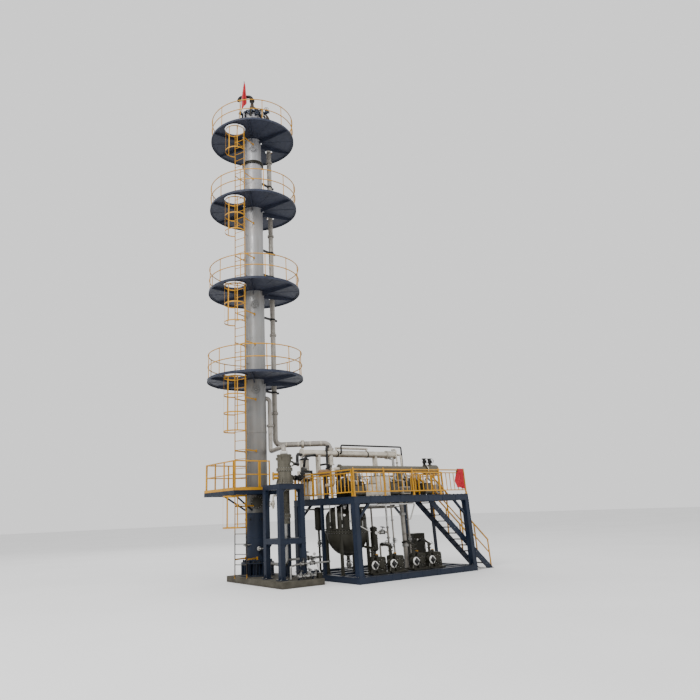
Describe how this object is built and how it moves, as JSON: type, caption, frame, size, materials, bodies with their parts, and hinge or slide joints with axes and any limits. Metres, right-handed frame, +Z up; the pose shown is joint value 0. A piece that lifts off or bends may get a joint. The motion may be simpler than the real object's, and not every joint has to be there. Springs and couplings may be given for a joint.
{
  "type": "distillation column with process skid",
  "caption": "Tall tray column on a skirt with round railed platforms, caged ladder and overhead pipe, beside a two-level process skid with stair and pumps.",
  "frame": {"origin": "on the ground, on the column's axis", "axes": "+Z up, +X along the skid away from the column, +Y to the back"},
  "size_m": [10.485, 6.0988, 22.5219],
  "materials": {
    "concrete": "weathered concrete",
    "column_grey": "satin aluminium paint",
    "navy_steel": "satin",
    "slate_deck": "matt",
    "ochre_rail": "satin",
    "cream_pipe": "satin cladding",
    "olive_vessel": "satin",
    "dark_vessel": "satin",
    "pump_green": "satin",
    "bare_steel": "brushed",
    "red_cloth": "plain weave"
  },
  "bodies": {
    "root": {"access_deck": "navy_steel", "access_rail": "ochre_rail", "column_base_ring": "navy_steel", "column_body_flange": "dark_vessel", "column_bottom_head": "column_grey", "column_nozzles": "column_grey", "column_shell_lower": "column_grey", "column_shell_top": "column_grey", "column_shell_upper": "column_grey", "column_skirt": "navy_steel", "column_top_head": "navy_steel", "concrete_plinth": "concrete", "condenser": "cream_pipe", "control_cabinet": "dark_vessel", "deck_vessels": "cream_pipe", "flag_pole": "bare_steel", "instrument_conduit": "column_grey", "kettle_tank": "dark_vessel", "ladder_1": "ochre_rail", "ladder_2": "ochre_rail", "ladder_3": "ochre_rail", "ladder_4": "ochre_rail", "ladder_5": "ochre_rail", "ladder_struts": "ochre_rail", "platform_brackets": "slate_deck", "platform_deck_1": "slate_deck", "platform_deck_2": "slate_deck", "platform_deck_3": "slate_deck", "platform_deck_4": "slate_deck", "platform_rail_1": "ochre_rail", "platform_rail_2": "ochre_rail", "platform_rail_3": "ochre_rail", "platform_rail_4": "ochre_rail", "product_cooler": "olive_vessel", "pump_motors": "pump_green", "pumps": "dark_vessel", "rail_flag": "red_cloth", "reboiler_frame": "navy_steel", "reboiler_piping": "bare_steel", "reboiler_vessel": "olive_vessel", "return_pipe": "cream_pipe", "skid_base_frame": "navy_steel", "skid_deck_beams": "navy_steel", "skid_deck_plate": "navy_steel", "skid_guard_rails": "ochre_rail", "skid_piping": "cream_pipe", "skid_posts": "navy_steel", "stair_rails": "ochre_rail", "stair_stringers": "navy_steel", "stair_treads": "navy_steel", "top_flag": "red_cloth", "top_vent_pipe": "dark_vessel", "under_deck_vessels": "dark_vessel", "upper_piping": "dark_vessel", "vapour_line": "cream_pipe", "vapour_line_clamps": "dark_vessel"}
  },
  "joints": []
}
